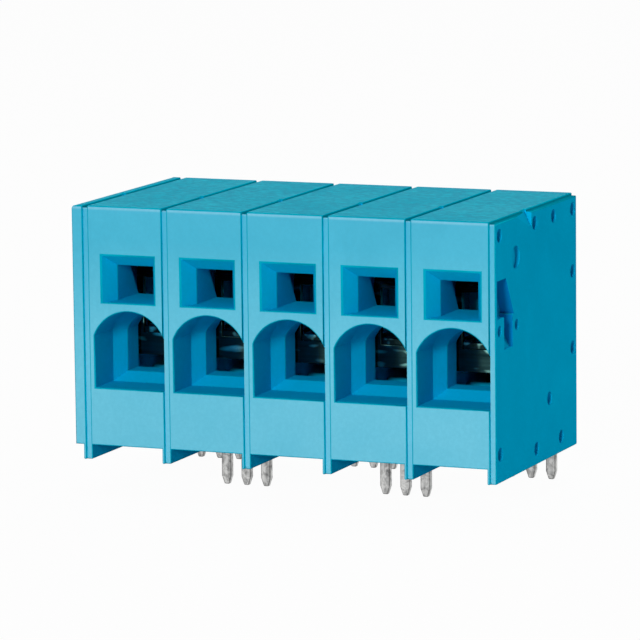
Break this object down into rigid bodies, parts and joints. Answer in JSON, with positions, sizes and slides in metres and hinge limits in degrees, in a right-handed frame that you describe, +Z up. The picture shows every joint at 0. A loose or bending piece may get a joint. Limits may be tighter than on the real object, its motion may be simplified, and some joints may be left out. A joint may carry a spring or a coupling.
{
  "type": "spring terminal block",
  "caption": "Spring clamp terminal block for a circuit board: a row of moulded modules, each with an arched wire entry, a tool slot above it and flat solder pins below.",
  "frame": {"origin": "on the board surface under the feet, midway between the pin rows and on the middle pole", "axes": "+X along the row of poles, away from the end plate; +Y from the wire side to the back; +Z up from the board"},
  "size_m": [0.052, 0.028, 0.0338],
  "materials": {
    "housing": "fine spark-eroded moulding texture, blue",
    "bar": "matt tin plating over a copper alloy",
    "spring": "rolled spring steel"
  },
  "bodies": {
    "block": {"end_plate": "housing", "housing_1": "housing", "housing_2": "housing", "housing_3": "housing", "housing_4": "housing", "housing_5": "housing", "current_bar_1": "bar", "current_bar_2": "bar", "current_bar_3": "bar", "current_bar_4": "bar", "current_bar_5": "bar"},
    "clamp_1": {"clamp_spring_1": "spring"},
    "clamp_2": {"clamp_spring_2": "spring"},
    "clamp_3": {"clamp_spring_3": "spring"},
    "clamp_4": {"clamp_spring_4": "spring"},
    "clamp_5": {"clamp_spring_5": "spring"}
  },
  "joints": [
    {"name": "clamp_1_open", "type": "hinge", "parent": "block", "child": "clamp_1", "pos_m": [-0.02, 0.0025, 0.01825], "axis": [1, 0, 0], "range_deg": [0, 28], "stiffness_Nm_per_rad": 0.7, "springref_deg": -31.51},
    {"name": "clamp_2_open", "type": "hinge", "parent": "block", "child": "clamp_2", "pos_m": [-0.01, 0.0025, 0.01825], "axis": [1, 0, 0], "range_deg": [0, 28], "stiffness_Nm_per_rad": 0.7, "springref_deg": -31.51},
    {"name": "clamp_3_open", "type": "hinge", "parent": "block", "child": "clamp_3", "pos_m": [0, 0.0025, 0.01825], "axis": [1, 0, 0], "range_deg": [0, 28], "stiffness_Nm_per_rad": 0.7, "springref_deg": -31.51},
    {"name": "clamp_4_open", "type": "hinge", "parent": "block", "child": "clamp_4", "pos_m": [0.01, 0.0025, 0.01825], "axis": [1, 0, 0], "range_deg": [0, 28], "stiffness_Nm_per_rad": 0.7, "springref_deg": -31.51},
    {"name": "clamp_5_open", "type": "hinge", "parent": "block", "child": "clamp_5", "pos_m": [0.02, 0.0025, 0.01825], "axis": [1, 0, 0], "range_deg": [0, 28], "stiffness_Nm_per_rad": 0.7, "springref_deg": -31.51}
  ]
}
